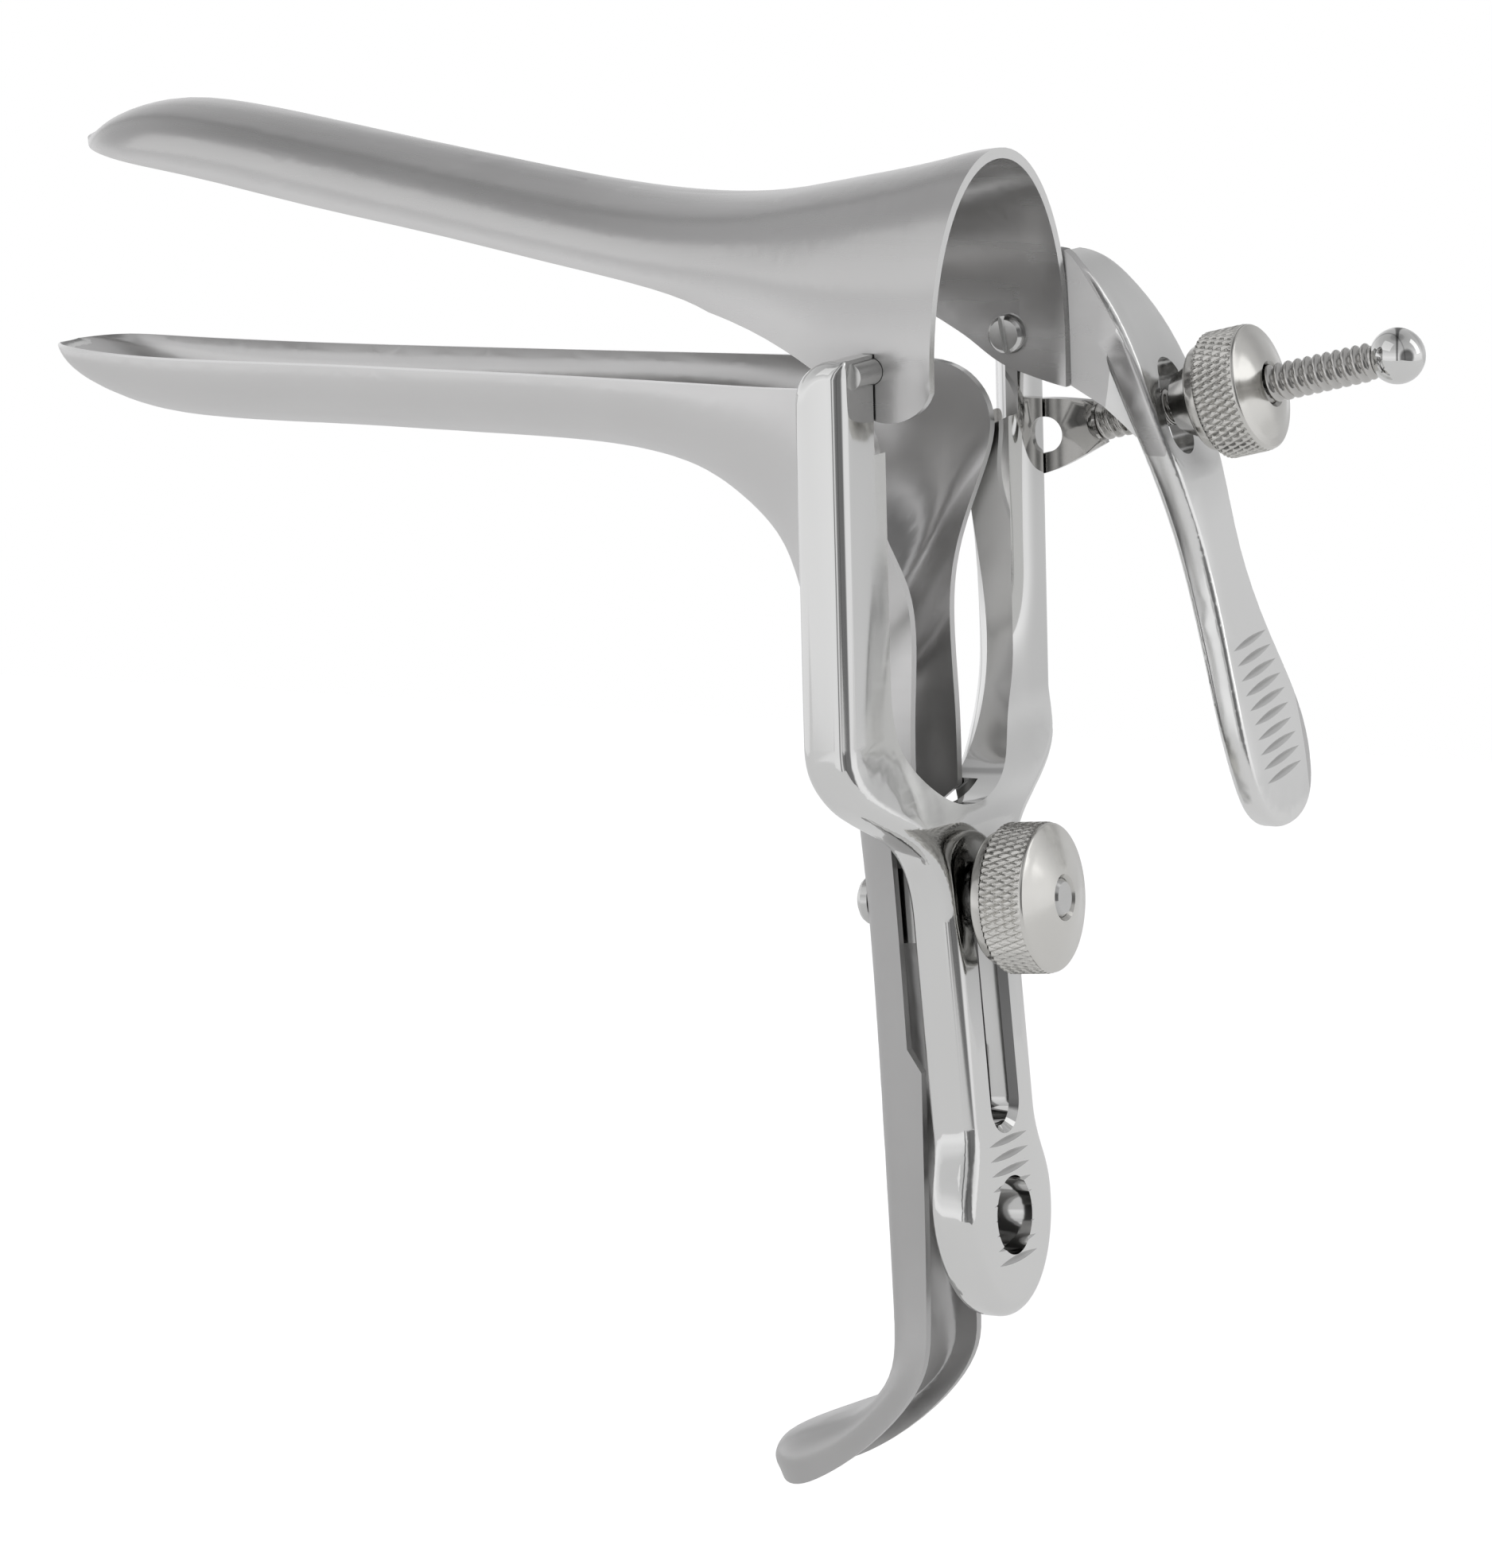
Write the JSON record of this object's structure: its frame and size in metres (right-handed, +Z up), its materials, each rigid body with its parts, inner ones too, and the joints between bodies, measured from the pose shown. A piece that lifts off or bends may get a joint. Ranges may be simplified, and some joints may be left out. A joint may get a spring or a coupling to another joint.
{
  "type": "bivalve speculum",
  "caption": "Two-bladed hinged instrument with a forked handle, thumb lever, knurled adjusting nut on a threaded rod and a knurled slide nut.",
  "frame": {"origin": "midway between the two blade pivots, on their axis", "axes": "+X to the rear, towards the operator (the blades reach along -X); +Y across, towards the thumb lever; +Z up"},
  "size_m": [0.1698, 0.0697, 0.1656],
  "materials": {
    "yoke_steel": "satin to mirror polished stainless steel",
    "upper_blade_steel": "satin outside, polished rims",
    "lower_blade_steel": "satin outside, polished rims",
    "pivot_screw_steel": "polished",
    "adjusting_screw_steel": "polished, rolled thread",
    "end_ball_steel": "mirror polished",
    "nut_steel": "knurled, polished collar",
    "stud_steel": "polished"
  },
  "bodies": {
    "yoke": {"yoke": "yoke_steel", "near_pivot_screw": "pivot_screw_steel", "far_pivot_screw": "pivot_screw_steel", "anchor_pin": "pivot_screw_steel"},
    "upper_blade": {"upper_blade": "upper_blade_steel"},
    "lower_blade": {"lower_blade": "lower_blade_steel", "slide_stud": "stud_steel", "slide_block": "stud_steel"},
    "slide_nut": {"slide_nut": "nut_steel"},
    "adjusting_screw": {"adjusting_screw": "adjusting_screw_steel", "screw_end_ball": "end_ball_steel"},
    "adjusting_nut": {"adjusting_nut": "nut_steel"}
  },
  "joints": [
    {"name": "blade_pivot", "type": "hinge", "parent": "yoke", "child": "upper_blade", "pos_m": [0, 0, 0], "axis": [0, 1, 0], "range_deg": [-12.4, 12]},
    {"name": "screw_swivel", "type": "hinge", "parent": "yoke", "child": "adjusting_screw", "pos_m": [-0.0044, 0.02782, -0.01436], "axis": [0, 1, 0], "range_deg": [-10, 10]},
    {"name": "nut_travel", "type": "slide", "parent": "adjusting_screw", "child": "adjusting_nut", "axis": [0.9728, 0, 0.2317], "range_m": [-0.0032, 0.0035]},
    {"name": "blade_slide", "type": "slide", "parent": "yoke", "child": "lower_blade", "axis": [0.0743, 0, -0.9972], "range_m": [0, 0.02]},
    {"name": "slide_nut_turn", "type": "hinge", "parent": "lower_blade", "child": "slide_nut", "pos_m": [0.00819, 0, -0.0647], "axis": [0.9972, 0, 0.0743], "continuous": true}
  ],
  "couplings": [
    {"joint": "screw_swivel", "follows": "blade_pivot", "ratio": 0.665},
    {"joint": "nut_travel", "follows": "blade_pivot", "m_per_rad": -0.01295}
  ]
}
